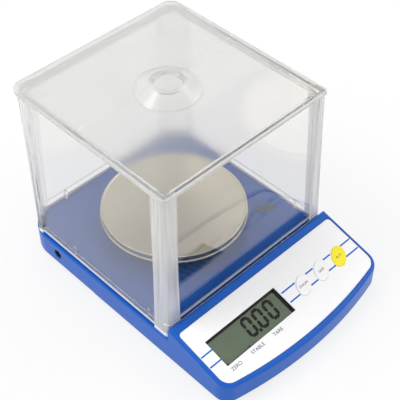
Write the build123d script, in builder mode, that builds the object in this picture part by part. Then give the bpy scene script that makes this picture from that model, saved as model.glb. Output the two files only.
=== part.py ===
from build123d import *
from math import cos, radians, sin, sqrt, tan
import os

os.makedirs("parts", exist_ok=True)

# A compact precision scale under a clear draft shield. The origin is on the table,
# under the middle of the housing. The display panel faces -Y.

# Housing, seen from above
HOUSING_WIDTH = 170.0
HOUSING_DEPTH = 239.0
FRONT_BOW_RADIUS = 335.0
FRONT_CORNER_RADIUS = 12.0
REAR_CORNER_RADIUS = 26.0
WALL = 2.2

# Heights above the table
FOOT_DROP = 2.5
LEDGE_HEIGHT = 23.3
DECK_HEIGHT = 26.5
HUMP_HEIGHT = 37.8
PAN_HEIGHT = 46.1
SHIELD_HEIGHT = 158.5

# Draft shield: four drafted walls with proud corner posts, and a lid that lifts off
SHIELD_WIDTH = 164.2
SHIELD_DEPTH = 165.7
SHIELD_REAR_MARGIN = 2.2
SHIELD_DRAFT = 1.68
SHIELD_WALL = 2.5
SHIELD_FRONT_RADIUS = 3.5
LEAST_CORNER_RADIUS = 0.5
REAR_CHAMFER = 16.0
REAR_CHAMFER_TOP = 7.5
POST_PROUD = 1.3
POST_WIDTH_X = 11.0
POST_WIDTH_Y = 14.0
POST_PAST_CHAMFER = 4.0
POST_FOOT = 1.9
HEM_HEIGHT = 7.0
HEM_PROUD = 0.4
RIB_HEIGHT = 8.8
RIB_WIDTH = 1.8
RIB_GAP = 0.3
SIDE_RIB_FRONT = 25.0
SIDE_RIB_REAR = 59.0
FRONT_RIB_X = 44.8
LID_THICKNESS = 2.5
LID_OVERHANG = 0.5
LID_REAR_OVERHANG = 2.2
LID_REAR_RADIUS = 10.0
LID_RIM_HEIGHT = 4.0
LID_RIM_THICKNESS = 1.6
LID_CLEARANCE = 0.4
LID_SEAT_GAP = 0.05
GRIP_BASE_RADIUS = 25.6
GRIP_RING_RADIUS = 13.8
GRIP_HEIGHT = 6.4
GRIP_DISH = 1.2
GRIP_RING_WIDTH = 2.2

# Deck inside the shield
DECK_SIDE_GAP = 1.7
DECK_END_GAP = 3.3
DECK_CORNER_RADIUS = 3.0
DECK_EDGE_RADIUS = 0.8
DECK_CHAMFER_GAP = 2.4
HUMP_GAP = 0.6
HUMP_OVERLAP = 20.0
TOP_EDGE_RADIUS = 2.6
LEDGE_EDGE_RADIUS = 1.0
BOTTOM_EDGE_RADIUS = 1.8

# Sloped panel and its printed film
PANEL_SLOPE = 15.0
OVERLAY_SETBACK = 8.0
OVERLAY_SIDE_MARGIN = 3.0
OVERLAY_FRONT_MARGIN = 4.3
OVERLAY_BOW_RADIUS = 384.0
OVERLAY_FRONT_RADIUS = 9.0
OVERLAY_BACK_RADIUS = 3.0
OVERLAY_THICKNESS = 0.5
OVERLAY_RECESS = 1.0
OVERLAY_GAP = 0.4

# Display
DISPLAY_MARGIN = 11.3
DISPLAY_WIDTH = 71.8
DISPLAY_BACK = 16.3
DISPLAY_LENGTH = 23.7
DISPLAY_FRAME_WALL = 1.5
DISPLAY_FRAME_DEPTH = 2.4
DISPLAY_FIT = 0.15
GLASS_THICKNESS = 2.8
GLASS_MARGIN = 2.1
HOLDER_WALL = 1.2
HOLDER_DEPTH = 5.8
CONNECTOR_STRIP_WIDTH = 2.0

# Keys: three leaning ovals in a row
LAST_KEY_MARGIN = 19.4
KEY_PITCH = 20.5
KEY_NAMES = ["power", "unit", "tare"]
KEY_BACK = 29.1
KEY_LONG_RADIUS = 9.1
KEY_SHORT_RADIUS = 5.9
KEY_LEAN = 48.0
KEY_STANDS = 0.4
KEY_FIT = 0.15
KEY_FLANGE = 1.0
KEY_FLANGE_THICKNESS = 0.8
KEY_TRAVEL = 0.5
STEM_RADIUS = 2.5
PLUNGER_RADIUS = 1.7
PLUNGER_FIT = 0.08
PLUNGER_LENGTH = 1.6
SWITCH_SIZE = 6.0
SWITCH_HEIGHT = 3.5

# Main board, parallel to the panel
BOARD_THICKNESS = 1.6
BOARD_SIDE_MARGIN = 9.0
BOARD_BACK = 12.0
BOARD_LENGTH = 36.0
BOARD_POST_RADIUS = 2.6
BOARD_POST_INSET = 4.5
BOARD_POST_GAP = 1.35
BOARD_SCREW_RADIUS = 1.25
BOARD_SCREW_HEAD_RADIUS = 2.4
BOARD_SCREW_HEAD = 1.6
BOARD_SCREW_BITE = 4.0
CHIP_SIZE = 12.0
CHIP_HEIGHT = 1.6
SMALL_CHIP_SIZE = 6.0
PLUG_WIDTH = 8.0
PLUG_DEPTH = 5.0
PLUG_HEIGHT = 4.0

# Weighing pan and what carries it
PAN_FORWARD = 1.95
PAN_RADIUS = 57.0
PAN_SHEET = 0.8
PAN_SKIRT = 6.5
PAN_BEAD = 0.6
PAN_BEAD_WIDTH = 2.0
PAN_LIP = 0.7
SUPPORT_GAP = 0.6
SUPPORT_THICKNESS = 2.5
SUPPORT_HUB_RADIUS = 13.0
SUPPORT_RIB = 2.0
SUPPORT_RIB_DEPTH = 3.0
SUPPORT_RIM_WIDTH = 6.0
SUPPORT_CLEARANCE = 2.0
PAD_RADIUS = 4.0
PAD_HEIGHT = 2.2
PAD_CIRCLE = 44.0
PAD_COUNT = 4
PAD_ANGLE = 45.0
SPIGOT_RADIUS = 4.0
SPIGOT_FIT = 0.1
SPIGOT_HEIGHT = 7.0
HUB_RADIUS = 9.0
HUB_HOLE_GAP = 3.0
COLLAR_WIDTH = 2.0
COLLAR_HEIGHT = 0.9
CARRIER_THICKNESS = 2.0
CARRIER_PAD = 1.0
CARRIER_WIDTH = 20.0

# Load cell: a beam across the housing, held at its left end
BEAM_LENGTH = 80.0
BEAM_WIDTH = 12.7
BEAM_HEIGHT = 10.0
BEAM_HOLE_RADIUS = 3.6
BEAM_HOLE_SPACING = 16.0
BEAM_SLOT = 3.0
BEAM_END = 15.0
BEAM_SCREW_SPACING = 8.0
BEAM_SCREW_RADIUS = 1.5
BEAM_SCREW_BITE = 6.0
CARRIER_SCREW_BITE = 4.0
SCREW_HEAD_RADIUS = 2.75
SCREW_HEAD_HEIGHT = 1.8
SCREW_CLEARANCE = 0.2
SPACER_THICKNESS = 2.0
PEDESTAL_HEIGHT = 2.0
GAUGE_LENGTH = 7.0
GAUGE_WIDTH = 8.0
GAUGE_THICKNESS = 0.5
STOP_RADIUS = 2.0
STOP_BOSS_RADIUS = 4.5
STOP_BOSS_HEIGHT = 3.0
STOP_GAP = 0.5

# Bottom tray
TRAY_PLATE = 2.2
TRAY_FIT = 0.3
REAR_BAND_HEIGHT = 2.0
REAR_BAND_LENGTH = 85.0
REAR_BAND_INSET = 0.9
BOSS_RADIUS = 3.5
FRONT_BOSS_SIDE_INSET = 40.0
FRONT_BOSS_INSET = 9.0
SIDE_BOSS_INSET = 7.0
SIDE_BOSS_BACK = 16.3
REAR_BOSS_GAP = 13.1
REAR_BOSS_INSET = 7.5
CASE_SCREW_RADIUS = 1.4
CASE_SCREW_HEAD_RADIUS = 2.8
CASE_SCREW_HEAD = 1.6
CASE_SCREW_LENGTH = 11.0
TRAY_BOSS_HEIGHT = 3.0
FOOT_RADIUS = 8.0
FOOT_POCKET = 1.0
FRONT_FOOT_SIDE_INSET = 19.0
REAR_FOOT_SIDE_INSET = 23.0
FRONT_FOOT_INSET = 24.0
REAR_FOOT_INSET = 24.0
FOOT_EDGE = 0.8

# Battery bay at the rear of the tray, open downwards
CELL_RADIUS = 7.1
CELL_LENGTH = 49.5
NUB_RADIUS = 2.6
NUB_LENGTH = 1.0
CELL_COUNT = 4
CELL_PITCH = 14.8
CELL_GAP = 0.3
SPRING_LENGTH = 5.0
SPRING_RADIUS = 3.2
SPRING_WIRE = 0.35
SPRING_PITCH = 1.5
CONTACT_SIZE = 10.0
CONTACT_THICKNESS = 0.4
BAY_WALL = 1.5
BAY_REAR_GAP = 0.8
COVER_THICKNESS = 2.0
COVER_GAP = 0.3
HINGE_PIN_RADIUS = 0.6
HINGE_PIN_LENGTH = 1.0
HINGE_FIT = 0.06
THUMB_WIDTH = 14.0
THUMB_LENGTH = 3.0

# Power inlet in the left side
JACK_FROM_REAR = 41.5
JACK_Z = 14.5
JACK_HOLE_RADIUS = 4.2
JACK_BARREL_RADIUS = 3.0
JACK_PIN_RADIUS = 1.0
JACK_WIDTH = 10.0
JACK_HEIGHT = 11.0
JACK_LENGTH = 13.0
JACK_DEPTH = 9.5
JACK_COLLAR_LENGTH = 1.6
JACK_FIT = 0.1

# Leads inside the housing
LEAD_RADIUS = 1.1
LEAD_BEND = 2.5
POWER_PLUG_INSET = 14.2
BATTERY_PLUG_INSET = 24.0
BATTERY_LEAD_BACK = 7.3
BATTERY_LEAD_Z = 14.0

# Places worked out from the sizes above
key_row = (len(KEY_NAMES) - 1) * KEY_PITCH
front_y = -HOUSING_DEPTH / 2
rear_y = HOUSING_DEPTH / 2
half_width = HOUSING_WIDTH / 2
shield_rear = rear_y - SHIELD_REAR_MARGIN
shield_front = shield_rear - SHIELD_DEPTH
shield_y = (shield_rear + shield_front) / 2
pan_y = shield_y - PAN_FORWARD
hump_rear = shield_front - POST_PROUD - HUMP_GAP
wall_bottom = LEDGE_HEIGHT + POST_FOOT
lid_bottom = SHIELD_HEIGHT - LID_THICKNESS
wall_top = lid_bottom - LID_SEAT_GAP
shield_rise = wall_top - LEDGE_HEIGHT
shield_shrink = shield_rise * tan(radians(SHIELD_DRAFT))
slope_cos = cos(radians(PANEL_SLOPE))
slope_sin = sin(radians(PANEL_SLOPE))
slope_tan = tan(radians(PANEL_SLOPE))
overlay_back = hump_rear - OVERLAY_SETBACK
overlay_top_z = HUMP_HEIGHT - OVERLAY_SETBACK * slope_tan
overlay_length = (overlay_back - front_y - OVERLAY_FRONT_MARGIN) / slope_cos
overlay_half_width = half_width - OVERLAY_SIDE_MARGIN
panel_origin = (0, overlay_back, overlay_top_z)
panel = Plane(origin=panel_origin, x_dir=(1, 0, 0), z_dir=(0, -slope_sin, slope_cos))
tray_top = FOOT_DROP + TRAY_PLATE
pan_top = PAN_HEIGHT - PAN_BEAD
pad_top = pan_top - PAN_SHEET
support_top = pad_top - PAD_HEIGHT
support_bottom = support_top - SUPPORT_THICKNESS
beam_bottom = tray_top + PEDESTAL_HEIGHT + SPACER_THICKNESS
beam_top = beam_bottom + BEAM_HEIGHT
carrier_top = beam_top + CARRIER_PAD + CARRIER_THICKNESS
hub_top = DECK_HEIGHT + SUPPORT_CLEARANCE
board_depth = OVERLAY_RECESS + WALL + HOLDER_DEPTH
board_under = board_depth + BOARD_THICKNESS
display_x = -overlay_half_width + DISPLAY_MARGIN + DISPLAY_WIDTH / 2
first_key_x = overlay_half_width - LAST_KEY_MARGIN - key_row
board_width = HOUSING_WIDTH - 2 * BOARD_SIDE_MARGIN
power_plug_x = -board_width / 2 + POWER_PLUG_INSET
battery_plug_x = board_width / 2 - BATTERY_PLUG_INSET
plug_y = -BOARD_BACK - BOARD_POST_INSET
jack_y = rear_y - JACK_FROM_REAR
rear_band_from = rear_y - REAR_BAND_LENGTH
display_y = -DISPLAY_BACK - DISPLAY_LENGTH / 2
bay_width = CELL_COUNT * CELL_PITCH + 2 * CELL_GAP
bay_length = CELL_LENGTH + NUB_LENGTH + SPRING_LENGTH + 2 * CONTACT_THICKNESS
bay_rear = rear_y - WALL - BAY_REAR_GAP - BAY_WALL
bay_front = bay_rear - bay_length
cover_top = FOOT_DROP + COVER_THICKNESS
hinge_y = bay_front + COVER_GAP + COVER_THICKNESS / 2
hinge_z = FOOT_DROP + COVER_THICKNESS / 2
cell_z = cover_top + CELL_GAP + CELL_RADIUS
bay_top = cell_z + CELL_RADIUS + CELL_GAP


def panel_z(y):
    """Height of the panel's outer face above a point y on the table."""
    return overlay_top_z + (y - overlay_back) * slope_tan


def housing_plan(inset):
    """The housing from above, moved inwards by inset."""
    bow_drop = FRONT_BOW_RADIUS - sqrt(FRONT_BOW_RADIUS**2 - half_width**2)
    with BuildSketch() as plan:
        with BuildLine():
            left = (-half_width, front_y + bow_drop)
            right = (half_width, front_y + bow_drop)
            ThreePointArc(left, (0, front_y), right)
            Polyline(right, (half_width, rear_y), (-half_width, rear_y), left)
        make_face()
        fillet(plan.vertices().group_by(Axis.Y)[-1], REAR_CORNER_RADIUS)
        fillet(plan.vertices().group_by(Axis.Y)[0], FRONT_CORNER_RADIUS)
        if inset:
            offset(amount=-inset, kind=Kind.INTERSECTION)
    return plan.sketch


def ledge_plan(inset):
    """The housing from above, from inside the hump to the rear."""
    with BuildSketch() as plan:
        add(housing_plan(inset))
        with Locations((0, hump_rear - HUMP_OVERLAP + HOUSING_DEPTH / 2)):
            Rectangle(HOUSING_WIDTH, HOUSING_DEPTH, mode=Mode.INTERSECT)
    return plan.sketch


def overlay_plan(grow):
    """The film's outline in the panel's own axes, grown by grow on every side."""
    bow_drop = OVERLAY_BOW_RADIUS - sqrt(OVERLAY_BOW_RADIUS**2 - overlay_half_width**2)
    with BuildSketch() as plan:
        with BuildLine():
            left = (-overlay_half_width, -overlay_length + bow_drop)
            right = (overlay_half_width, -overlay_length + bow_drop)
            ThreePointArc(left, (0, -overlay_length), right)
            Polyline(right, (overlay_half_width, 0), (-overlay_half_width, 0), left)
        make_face()
        fillet(plan.vertices().group_by(Axis.Y)[-1], OVERLAY_BACK_RADIUS)
        fillet(plan.vertices().group_by(Axis.Y)[0], OVERLAY_FRONT_RADIUS)
        if grow:
            offset(amount=grow, kind=Kind.INTERSECTION)
    return plan.sketch


def shield_plan(grow, level):
    """The shield's walls from above, grown outwards: level 0 is the foot, 1 the top."""
    change = grow - level * shield_shrink
    # a chamfer moved outwards along with its two sides gets longer by this much
    chamfer_leg = REAR_CHAMFER + level * (REAR_CHAMFER_TOP - REAR_CHAMFER) + grow * (2 - sqrt(2))
    with BuildSketch() as plan:
        with Locations((0, shield_y)):
            Rectangle(SHIELD_WIDTH + 2 * change, SHIELD_DEPTH + 2 * change)
        chamfer(plan.vertices().group_by(Axis.Y)[-1], chamfer_leg)
        front_radius = max(SHIELD_FRONT_RADIUS + grow, LEAST_CORNER_RADIUS)
        fillet(plan.vertices().group_by(Axis.Y)[0], front_radius)
    return plan.sketch


def deck_plan(inset):
    """The deck from above: the shield's inside, drawn in by the deck's gaps."""
    inner_chamfer = REAR_CHAMFER - SHIELD_WALL * (2 - sqrt(2))
    deck_chamfer = inner_chamfer - DECK_SIDE_GAP - DECK_END_GAP + DECK_CHAMFER_GAP * sqrt(2)
    with BuildSketch() as plan:
        with Locations((0, shield_y)):
            Rectangle(deck_width - 2 * inset, deck_depth - 2 * inset)
        chamfer(plan.vertices().group_by(Axis.Y)[-1], deck_chamfer)
        fillet(plan.vertices().group_by(Axis.Y)[0], DECK_CORNER_RADIUS)
    return plan.sketch


def key_oval(grow):
    """All three key outlines, grown by grow, in the panel's own axes."""
    with BuildSketch() as ovals:
        for index in range(len(KEY_NAMES)):
            with Locations((first_key_x + index * KEY_PITCH, -KEY_BACK)):
                Ellipse(KEY_LONG_RADIUS + grow, KEY_SHORT_RADIUS + grow, rotation=KEY_LEAN)
    return ovals.sketch


def lead(start, plug_x):
    """A round lead from start to the plug at plug_x, which it meets squarely."""
    start_x, start_y, start_z = start
    end = panel.from_local_coords((plug_x, plug_y, -board_under - PLUG_HEIGHT))
    below_plug = end - panel.z_dir * ((end.Z - start_z) / slope_cos)
    points = [start, (plug_x, start_y, start_z), below_plug, end]
    if start_x == plug_x:
        points = [start, below_plug, end]
    with BuildPart() as tube:
        with BuildLine() as path:
            FilletPolyline(*points, radius=LEAD_BEND)
        with BuildSketch(Plane(origin=path.line @ 0, z_dir=path.line % 0)):
            Circle(LEAD_RADIUS)
        sweep()
    return tube


def hump_block(inset, back, drop):
    """The housing's plan, cut down to the panel's slope and off behind the hump."""
    reach = front_y - WALL
    with BuildPart() as block:
        with BuildSketch(Plane.XY.offset(FOOT_DROP)):
            add(housing_plan(inset))
        extrude(amount=HUMP_HEIGHT)
        with BuildSketch(Plane.YZ):
            with BuildLine():
                Polyline(
                    (back, 0),
                    (back, panel_z(back) - drop),
                    (reach, panel_z(reach) - drop),
                    (reach, 0),
                    close=True,
                )
            make_face()
        extrude(amount=HOUSING_WIDTH, both=True, mode=Mode.INTERSECT)
    return block.part


boss_places = [
    (half_width - FRONT_BOSS_SIDE_INSET, front_y + FRONT_BOSS_INSET),
    (half_width - SIDE_BOSS_INSET, hump_rear + SIDE_BOSS_BACK),
    (bay_width / 2 + BAY_WALL + BOSS_RADIUS + REAR_BOSS_GAP, rear_y - REAR_BOSS_INSET),
]
boss_places = boss_places + [(-x, y) for x, y in boss_places]
front_boss_y = front_y + FRONT_BOSS_INSET
panel_cut = (OVERLAY_RECESS + WALL) / slope_cos
front_boss_top = panel_z(front_boss_y) - panel_cut + WALL / 2
rear_boss_top = LEDGE_HEIGHT - WALL / 2
boss_bottom = tray_top + TRAY_BOSS_HEIGHT
beam_centre = (0, pan_y)
board_centre = (0, -BOARD_BACK - BOARD_LENGTH / 2)
holder_right = display_x + DISPLAY_WIDTH / 2 + GLASS_MARGIN + DISPLAY_FIT + HOLDER_WALL
board_post_left = holder_right + BOARD_POST_RADIUS + BOARD_POST_GAP
board_post_right = board_width / 2 - BOARD_POST_INSET
board_post_centre = ((board_post_left + board_post_right) / 2, board_centre[1])
board_post_spacing = (board_post_right - board_post_left, BOARD_LENGTH - 2 * BOARD_POST_INSET)
deck_width = SHIELD_WIDTH - 2 * (SHIELD_WALL + DECK_SIDE_GAP)
deck_depth = SHIELD_DEPTH - 2 * (SHIELD_WALL + DECK_END_GAP)
display_outer = (DISPLAY_WIDTH + 2 * DISPLAY_FRAME_WALL, DISPLAY_LENGTH + 2 * DISPLAY_FRAME_WALL)
fixed_end_x = -(BEAM_LENGTH - BEAM_END) / 2
free_end_x = (BEAM_LENGTH - BEAM_END) / 2
hub_hole_radius = HUB_RADIUS + HUB_HOLE_GAP
foot_places = [
    ("front_left_foot", -half_width + FRONT_FOOT_SIDE_INSET, front_y + FRONT_FOOT_INSET),
    ("front_right_foot", half_width - FRONT_FOOT_SIDE_INSET, front_y + FRONT_FOOT_INSET),
    ("rear_left_foot", -half_width + REAR_FOOT_SIDE_INSET, rear_y - REAR_FOOT_INSET),
    ("rear_right_foot", half_width - REAR_FOOT_SIDE_INSET, rear_y - REAR_FOOT_INSET),
]
parts = {}

# Hump under the sloped panel, with its edges rounded
with BuildPart() as panel_hump:
    add(hump_block(0, hump_rear, 0))
    fillet(panel_hump.faces().sort_by(Axis.Z)[-1].edges(), TOP_EDGE_RADIUS)
    fillet(panel_hump.edges().group_by(Axis.Z)[0], BOTTOM_EDGE_RADIUS)

# Deck inside the shield, with its top edge rounded
with BuildPart() as deck_block:
    with BuildSketch(Plane.XY.offset(LEDGE_HEIGHT - WALL)):
        add(deck_plan(0))
    extrude(amount=DECK_HEIGHT - LEDGE_HEIGHT + WALL)
    fillet(deck_block.edges().group_by(Axis.Z)[-1], DECK_EDGE_RADIUS)

# Hollow of the upper housing, open downwards
with BuildPart() as housing_hollow:
    with BuildSketch():
        add(ledge_plan(WALL))
    extrude(amount=LEDGE_HEIGHT - WALL)
    with BuildSketch():
        add(deck_plan(WALL))
    extrude(amount=DECK_HEIGHT - WALL)
    add(hump_block(WALL, hump_rear - WALL, panel_cut))

# Upper housing: ledge, deck and sloped panel in one moulding
with BuildPart() as upper_housing:
    with BuildSketch(Plane.XY.offset(FOOT_DROP)):
        add(ledge_plan(0))
    extrude(amount=LEDGE_HEIGHT - FOOT_DROP)
    fillet(upper_housing.edges().group_by(Axis.Z)[-1], LEDGE_EDGE_RADIUS)
    fillet(upper_housing.edges().group_by(Axis.Z)[0], BOTTOM_EDGE_RADIUS)
    add(panel_hump.part)
    add(deck_block.part)
    with BuildSketch(Plane.XY.offset(DECK_HEIGHT)):
        with Locations((0, pan_y)):
            Circle(hub_hole_radius + COLLAR_WIDTH)
    extrude(amount=COLLAR_HEIGHT)
    add(housing_hollow.part, mode=Mode.SUBTRACT)
    # bosses for the case screws
    for x, y in boss_places:
        top = front_boss_top if y == front_boss_y else rear_boss_top
        with BuildSketch(Plane.XY.offset(boss_bottom)):
            with Locations((x, y)):
                Circle(BOSS_RADIUS)
        extrude(amount=top - boss_bottom)
        with BuildSketch(Plane.XY.offset(boss_bottom)):
            with Locations((x, y)):
                Circle(CASE_SCREW_RADIUS)
        extrude(amount=CASE_SCREW_LENGTH - TRAY_BOSS_HEIGHT, mode=Mode.SUBTRACT)
    # posts that hold the main board
    with BuildSketch(panel.offset(-OVERLAY_RECESS - WALL / 2)):
        with Locations(board_post_centre):
            with GridLocations(*board_post_spacing, 2, 2):
                Circle(BOARD_POST_RADIUS)
    extrude(amount=-(board_depth - OVERLAY_RECESS - WALL / 2))
    with BuildSketch(panel.offset(-board_depth)):
        with Locations(board_post_centre):
            with GridLocations(*board_post_spacing, 2, 2):
                Circle(BOARD_SCREW_RADIUS)
    extrude(amount=BOARD_SCREW_BITE, mode=Mode.SUBTRACT)
    # shallow recess for the film, with openings for the display and the keys
    with BuildSketch(panel):
        add(overlay_plan(OVERLAY_GAP))
    extrude(amount=-OVERLAY_RECESS, mode=Mode.SUBTRACT)
    with BuildSketch(panel):
        with Locations((display_x, display_y)):
            Rectangle(display_outer[0] + 2 * DISPLAY_FIT, display_outer[1] + 2 * DISPLAY_FIT)
        add(key_oval(KEY_FIT))
    extrude(amount=-OVERLAY_RECESS - 2 * WALL, mode=Mode.SUBTRACT)
    # hole for the hub of the pan carrier
    with BuildSketch(Plane.XY.offset(LEDGE_HEIGHT - WALL)):
        with Locations((0, pan_y)):
            Circle(hub_hole_radius)
    extrude(amount=DECK_HEIGHT, mode=Mode.SUBTRACT)
    # hole for the power inlet
    with BuildSketch(Plane.YZ.offset(-half_width)):
        with Locations((jack_y, JACK_Z)):
            Circle(JACK_HOLE_RADIUS)
    extrude(amount=2 * WALL, mode=Mode.SUBTRACT)
    # the skirt ends higher at the rear, where the tray's rim shows
    with BuildSketch(Plane.XY.offset(FOOT_DROP)):
        with Locations((0, rear_band_from + HOUSING_DEPTH / 2)):
            Rectangle(2 * HOUSING_WIDTH, HOUSING_DEPTH)
    extrude(amount=REAR_BAND_HEIGHT, mode=Mode.SUBTRACT)
parts["upper_housing"] = upper_housing

# Bottom tray: plate inside the skirt, rear rim, bosses, pedestal and battery bay
with BuildPart() as bottom_tray:
    with BuildSketch(Plane.XY.offset(FOOT_DROP)):
        add(housing_plan(WALL + TRAY_FIT))
    extrude(amount=TRAY_PLATE)
    with BuildSketch(Plane.XY.offset(FOOT_DROP)):
        add(housing_plan(REAR_BAND_INSET))
        with Locations((0, rear_band_from + TRAY_FIT + HOUSING_DEPTH / 2)):
            Rectangle(2 * HOUSING_WIDTH, HOUSING_DEPTH, mode=Mode.INTERSECT)
    extrude(amount=REAR_BAND_HEIGHT)
    with BuildSketch(Plane.XY.offset(tray_top)):
        with Locations(*boss_places):
            Circle(BOSS_RADIUS)
    extrude(amount=TRAY_BOSS_HEIGHT)
    with BuildSketch(Plane.XY.offset(tray_top)):
        with Locations((fixed_end_x, pan_y)):
            Rectangle(BEAM_END + 2 * WALL, BEAM_WIDTH + 2 * WALL)
    extrude(amount=PEDESTAL_HEIGHT)
    with BuildSketch(Plane.XY.offset(tray_top)):
        with Locations((free_end_x, pan_y)):
            Circle(STOP_BOSS_RADIUS)
    extrude(amount=STOP_BOSS_HEIGHT)
    with BuildSketch(Plane.XY.offset(FOOT_DROP)):
        with Locations((0, (bay_front + bay_rear) / 2)):
            Rectangle(bay_width + 2 * BAY_WALL, bay_length + 2 * BAY_WALL)
    extrude(amount=bay_top + BAY_WALL - FOOT_DROP)
    with BuildSketch(Plane.XY.offset(FOOT_DROP)):
        with Locations((0, (bay_front + bay_rear) / 2)):
            Rectangle(bay_width, bay_length)
    extrude(amount=bay_top - FOOT_DROP, mode=Mode.SUBTRACT)
    with BuildSketch(Plane.XY.offset(FOOT_DROP)):
        with Locations(*[(x, y) for name, x, y in foot_places]):
            Circle(FOOT_RADIUS)
    extrude(amount=FOOT_POCKET, mode=Mode.SUBTRACT)
    # sunk holes for the case screws
    with BuildSketch(Plane.XY.offset(FOOT_DROP)):
        with Locations(*boss_places):
            Circle(CASE_SCREW_RADIUS + SCREW_CLEARANCE)
    extrude(amount=TRAY_PLATE + TRAY_BOSS_HEIGHT, mode=Mode.SUBTRACT)
    with BuildSketch(Plane.XY.offset(FOOT_DROP)):
        with Locations(*boss_places):
            Circle(CASE_SCREW_HEAD_RADIUS + SCREW_CLEARANCE)
    extrude(amount=CASE_SCREW_HEAD, mode=Mode.SUBTRACT)
    # holes for the load cell's screws and the overload stop
    with BuildSketch(Plane.XY.offset(FOOT_DROP)):
        with Locations((fixed_end_x, pan_y)):
            with GridLocations(BEAM_SCREW_SPACING, 0, 2, 1):
                Circle(BEAM_SCREW_RADIUS + SCREW_CLEARANCE)
        with Locations((free_end_x, pan_y)):
            Circle(STOP_RADIUS)
    extrude(amount=TRAY_PLATE + STOP_BOSS_HEIGHT, mode=Mode.SUBTRACT)
    with BuildSketch(Plane.XY.offset(FOOT_DROP)):
        with Locations((fixed_end_x, pan_y)):
            with GridLocations(BEAM_SCREW_SPACING, 0, 2, 1):
                Circle(SCREW_HEAD_RADIUS + SCREW_CLEARANCE)
    extrude(amount=SCREW_HEAD_HEIGHT, mode=Mode.SUBTRACT)
    # bores for the battery cover's hinge pins
    with BuildSketch(Plane.YZ.offset(-bay_width / 2 - HINGE_PIN_LENGTH)):
        with Locations((hinge_y, hinge_z)):
            Circle(HINGE_PIN_RADIUS + HINGE_FIT)
    extrude(amount=bay_width + 2 * HINGE_PIN_LENGTH, mode=Mode.SUBTRACT)
parts["bottom_tray"] = bottom_tray

# Rubber feet, each in its pocket under the tray
for name, x, y in foot_places:
    with BuildPart() as foot:
        with BuildSketch():
            with Locations((x, y)):
                Circle(FOOT_RADIUS)
        extrude(amount=FOOT_DROP + FOOT_POCKET)
        fillet(foot.edges().group_by(Axis.Z)[0], FOOT_EDGE)
    parts[name] = foot

# Six screws that hold the two housing halves together
with BuildPart() as case_screws:
    with BuildSketch(Plane.XY.offset(FOOT_DROP + CASE_SCREW_HEAD)):
        with Locations(*boss_places):
            Circle(CASE_SCREW_RADIUS)
    extrude(amount=CASE_SCREW_LENGTH - CASE_SCREW_HEAD)
    with BuildSketch(Plane.XY.offset(FOOT_DROP + CASE_SCREW_HEAD)):
        with Locations(*boss_places):
            Circle(CASE_SCREW_HEAD_RADIUS)
    extrude(amount=-CASE_SCREW_HEAD)
parts["case_screws"] = case_screws

# Spacer plate between the pedestal and the load cell
with BuildPart() as load_cell_spacer:
    with BuildSketch(Plane.XY.offset(tray_top + PEDESTAL_HEIGHT)):
        with Locations((fixed_end_x, pan_y)):
            Rectangle(BEAM_END, BEAM_WIDTH)
            with GridLocations(BEAM_SCREW_SPACING, 0, 2, 1):
                Circle(BEAM_SCREW_RADIUS + SCREW_CLEARANCE, mode=Mode.SUBTRACT)
    extrude(amount=SPACER_THICKNESS)
parts["load_cell_spacer"] = load_cell_spacer

# Load cell: a bar with two bores joined by a slot, so that its free end sinks level
with BuildPart() as load_cell:
    with BuildSketch(Plane.XY.offset(beam_bottom)):
        with Locations(beam_centre):
            Rectangle(BEAM_LENGTH, BEAM_WIDTH)
    extrude(amount=BEAM_HEIGHT)
    with BuildSketch(Plane.XZ.offset(-pan_y + BEAM_WIDTH / 2)):
        with Locations((0, beam_bottom + BEAM_HEIGHT / 2)):
            Rectangle(BEAM_HOLE_SPACING, BEAM_SLOT)
            with GridLocations(BEAM_HOLE_SPACING, 0, 2, 1):
                Circle(BEAM_HOLE_RADIUS)
    extrude(amount=-BEAM_WIDTH, mode=Mode.SUBTRACT)
    with BuildSketch(Plane.XY.offset(beam_bottom)):
        with Locations((fixed_end_x, pan_y)):
            with GridLocations(BEAM_SCREW_SPACING, 0, 2, 1):
                Circle(BEAM_SCREW_RADIUS)
    extrude(amount=BEAM_SCREW_BITE, mode=Mode.SUBTRACT)
    with BuildSketch(Plane.XY.offset(beam_top)):
        with Locations((free_end_x, pan_y)):
            with GridLocations(BEAM_SCREW_SPACING, 0, 2, 1):
                Circle(BEAM_SCREW_RADIUS)
    extrude(amount=-BEAM_SCREW_BITE, mode=Mode.SUBTRACT)
parts["load_cell"] = load_cell

# Strain gauges under their sealing coat, over each bore, above and below
with BuildPart() as strain_gauges:
    for z, side in ((beam_top, 1), (beam_bottom, -1)):
        with BuildSketch(Plane.XY.offset(z)):
            with Locations(beam_centre):
                with GridLocations(BEAM_HOLE_SPACING, 0, 2, 1):
                    Rectangle(GAUGE_LENGTH, GAUGE_WIDTH)
        extrude(amount=side * GAUGE_THICKNESS)
parts["strain_gauges"] = strain_gauges

# Screws that hold the load cell from below
with BuildPart() as load_cell_screws:
    with BuildSketch(Plane.XY.offset(FOOT_DROP + SCREW_HEAD_HEIGHT)):
        with Locations((fixed_end_x, pan_y)):
            with GridLocations(BEAM_SCREW_SPACING, 0, 2, 1):
                Circle(BEAM_SCREW_RADIUS)
    extrude(amount=beam_bottom + BEAM_SCREW_BITE - FOOT_DROP - SCREW_HEAD_HEIGHT)
    with BuildSketch(Plane.XY.offset(FOOT_DROP + SCREW_HEAD_HEIGHT)):
        with Locations((fixed_end_x, pan_y)):
            with GridLocations(BEAM_SCREW_SPACING, 0, 2, 1):
                Circle(SCREW_HEAD_RADIUS)
    extrude(amount=-SCREW_HEAD_HEIGHT)
parts["load_cell_screws"] = load_cell_screws

# Set screw under the free end, which stops an overload
with BuildPart() as overload_stop:
    with BuildSketch(Plane.XY.offset(FOOT_DROP)):
        with Locations((free_end_x, pan_y)):
            Circle(STOP_RADIUS)
    extrude(amount=beam_bottom - STOP_GAP - FOOT_DROP)
parts["overload_stop"] = overload_stop

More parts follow.
